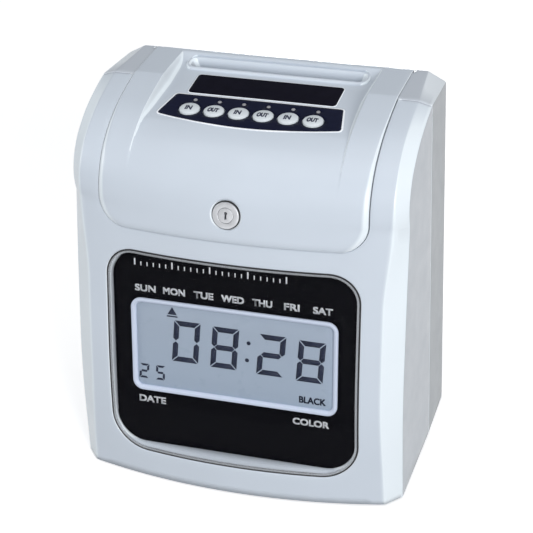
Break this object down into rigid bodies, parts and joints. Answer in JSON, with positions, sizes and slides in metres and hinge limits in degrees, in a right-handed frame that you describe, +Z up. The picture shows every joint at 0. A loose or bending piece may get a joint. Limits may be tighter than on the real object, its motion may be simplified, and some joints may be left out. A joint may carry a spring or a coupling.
{
  "type": "punch time clock",
  "caption": "Desktop punch time clock with a bowed front, window over a digital display, and a locking top cover with card slot and keys over a card feed and print head.",
  "frame": {"origin": "middle of the footprint, on the surface the clock stands on", "axes": "+X to the clock's right as seen from the front, +Y to the back, +Z up"},
  "size_m": [0.188, 0.125, 0.215],
  "materials": {
    "case_white": "fine satin moulded",
    "case_grey": "fine texture",
    "black_gloss": "printed gloss",
    "navy_print": "satin overlay film",
    "key_white": "satin",
    "rubber": "matt",
    "steel": "brushed",
    "chrome": "polished",
    "brass": "machined",
    "board": "solder mask",
    "pale_blue": "satin",
    "lcd": "display glass over a grey reflector",
    "clear": "clear moulded",
    "plastic_black": "fine texture",
    "nylon": "natural nylon"
  },
  "bodies": {
    "housing": {"front_housing": "case_white", "rear_case": "case_grey", "base_plate": "plastic_black", "foot_front_left": "rubber", "foot_front_right": "rubber", "foot_rear_left": "rubber", "foot_rear_right": "rubber", "hinge_pin_left": "steel", "hinge_pin_right": "steel", "lock_catch": "steel", "window_lens": "clear", "display_panel": "black_gloss", "lcd_bezel": "pale_blue", "lcd_glass": "lcd", "display_board": "board", "side_plate_left": "steel", "side_plate_right": "steel", "card_chute_front": "steel", "card_chute_rear": "steel", "card_stop": "plastic_black", "platen": "rubber", "feed_motor": "steel", "guide_shaft": "steel", "screw_motor": "steel", "ribbon_cassette": "plastic_black", "ribbon": "black_gloss", "main_board": "board", "backup_battery": "pale_blue", "power_inlet": "plastic_black", "buzzer": "plastic_black", "card_sensor": "plastic_black"},
    "cover": {"cover": "case_white", "card_slot_guide": "case_white", "slot_label": "black_gloss", "keypad_overlay": "navy_print", "key_light_bar": "clear", "keypad_board": "board", "lock_barrel": "chrome", "lock_nut": "brass"},
    "lock_plug": {"lock_cylinder": "chrome", "lock_cam": "steel"},
    "feed_drive": {"feed_shaft": "steel", "feed_roller_left": "rubber", "feed_roller_right": "rubber", "feed_gear": "nylon"},
    "motor_shaft": {"motor_pinion": "brass"},
    "pinch_drive": {"pinch_shaft": "steel", "pinch_roller_left": "nylon", "pinch_roller_right": "nylon"},
    "carriage": {"print_carriage": "plastic_black", "print_head": "steel"},
    "screw": {"lead_screw": "steel"},
    "ribbon_drive": {"ribbon_knob": "key_white"},
    "key_1": {"key_1": "key_white"},
    "key_2": {"key_2": "key_white"},
    "key_3": {"key_3": "key_white"},
    "key_4": {"key_4": "key_white"},
    "key_5": {"key_5": "key_white"},
    "key_6": {"key_6": "key_white"}
  },
  "joints": [
    {"name": "cover_hinge", "type": "hinge", "parent": "housing", "child": "cover", "pos_m": [0, 0.0592, 0.2117], "axis": [-1, 0, 0], "range_deg": [0, 95]},
    {"name": "lock_turn", "type": "hinge", "parent": "cover", "child": "lock_plug", "pos_m": [0, -0.04858, 0.17136], "axis": [0, -0.9786, 0.2057], "range_deg": [-90, 0]},
    {"name": "feed_turn", "type": "hinge", "parent": "housing", "child": "feed_drive", "pos_m": [0, 0.0415, 0.11], "axis": [1, 0, 0], "continuous": true},
    {"name": "motor_turn", "type": "hinge", "parent": "housing", "child": "motor_shaft", "pos_m": [0.065, 0.0415, 0.09335], "axis": [1, 0, 0], "continuous": true},
    {"name": "pinch_turn", "type": "hinge", "parent": "housing", "child": "pinch_drive", "pos_m": [0, 0.0542, 0.11], "axis": [1, 0, 0], "continuous": true},
    {"name": "carriage_slide", "type": "slide", "parent": "housing", "child": "carriage", "axis": [1, 0, 0], "range_m": [-0.028, 0.028]},
    {"name": "screw_turn", "type": "hinge", "parent": "housing", "child": "screw", "pos_m": [0, 0.021, 0.143], "axis": [1, 0, 0], "range_deg": [-850, 850]},
    {"name": "ribbon_turn", "type": "hinge", "parent": "housing", "child": "ribbon_drive", "pos_m": [-0.038, 0.014, 0.185], "axis": [0, 0, 1], "continuous": true},
    {"name": "key_1_press", "type": "slide", "parent": "cover", "child": "key_1", "axis": [0, 0.0819, -0.9966], "range_m": [0, 0.0008], "stiffness_N_per_m": 400, "springref_m": -0.0005},
    {"name": "key_2_press", "type": "slide", "parent": "cover", "child": "key_2", "axis": [0, 0.0819, -0.9966], "range_m": [0, 0.0008], "stiffness_N_per_m": 400, "springref_m": -0.0005},
    {"name": "key_3_press", "type": "slide", "parent": "cover", "child": "key_3", "axis": [0, 0.0819, -0.9966], "range_m": [0, 0.0008], "stiffness_N_per_m": 400, "springref_m": -0.0005},
    {"name": "key_4_press", "type": "slide", "parent": "cover", "child": "key_4", "axis": [0, 0.0819, -0.9966], "range_m": [0, 0.0008], "stiffness_N_per_m": 400, "springref_m": -0.0005},
    {"name": "key_5_press", "type": "slide", "parent": "cover", "child": "key_5", "axis": [0, 0.0819, -0.9966], "range_m": [0, 0.0008], "stiffness_N_per_m": 400, "springref_m": -0.0005},
    {"name": "key_6_press", "type": "slide", "parent": "cover", "child": "key_6", "axis": [0, 0.0819, -0.9966], "range_m": [0, 0.0008], "stiffness_N_per_m": 400, "springref_m": -0.0005}
  ],
  "couplings": [
    {"joint": "motor_turn", "follows": "feed_turn", "ratio": -2.6667},
    {"joint": "pinch_turn", "follows": "feed_turn", "ratio": -1.75},
    {"joint": "screw_turn", "follows": "carriage_slide", "rad_per_m": 523.6}
  ]
}
